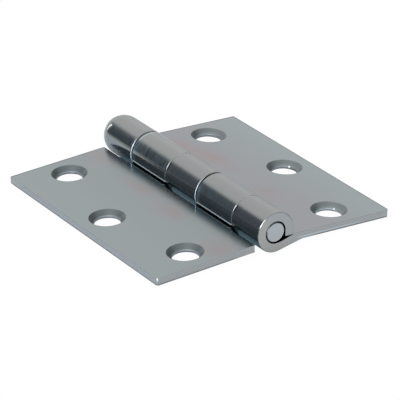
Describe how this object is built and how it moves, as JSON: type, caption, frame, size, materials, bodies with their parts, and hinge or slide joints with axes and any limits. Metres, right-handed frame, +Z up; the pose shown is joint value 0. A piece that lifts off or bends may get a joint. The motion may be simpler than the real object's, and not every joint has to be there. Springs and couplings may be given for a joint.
{
  "type": "broad butt hinge",
  "caption": "Broad butt hinge of rolled sheet steel, lying open: broad leaves with staggered countersunk holes, turning on a loose pin with a bullet head.",
  "frame": {"origin": "on the surface that the hinge lies on, under the pin's axis, midway between the leaves' open end and the tip of the pin's head", "axes": "+X to the right leaf, +Y along the pin towards its head, +Z up, out of the countersunk faces"},
  "size_m": [0.0748, 0.0808, 0.0116],
  "materials": {
    "leaf_zinc": "satin blue-grey zinc plate on rolled sheet, with faint pinkish patches",
    "pin_zinc": "smooth bright zinc plate on a turned and headed pin"
  },
  "bodies": {
    "left_leaf": {"left_leaf": "leaf_zinc"},
    "right_leaf": {"right_leaf": "leaf_zinc"},
    "pin": {"pin": "pin_zinc"}
  },
  "joints": [
    {"name": "leaf_fold", "type": "hinge", "parent": "left_leaf", "child": "right_leaf", "pos_m": [0, 0, 0.0058], "axis": [0, -1, 0], "range_deg": [-110, 185]},
    {"name": "pin_draw", "type": "slide", "parent": "left_leaf", "child": "pin", "axis": [0, 1, 0], "range_m": [0, 0.064]}
  ]
}
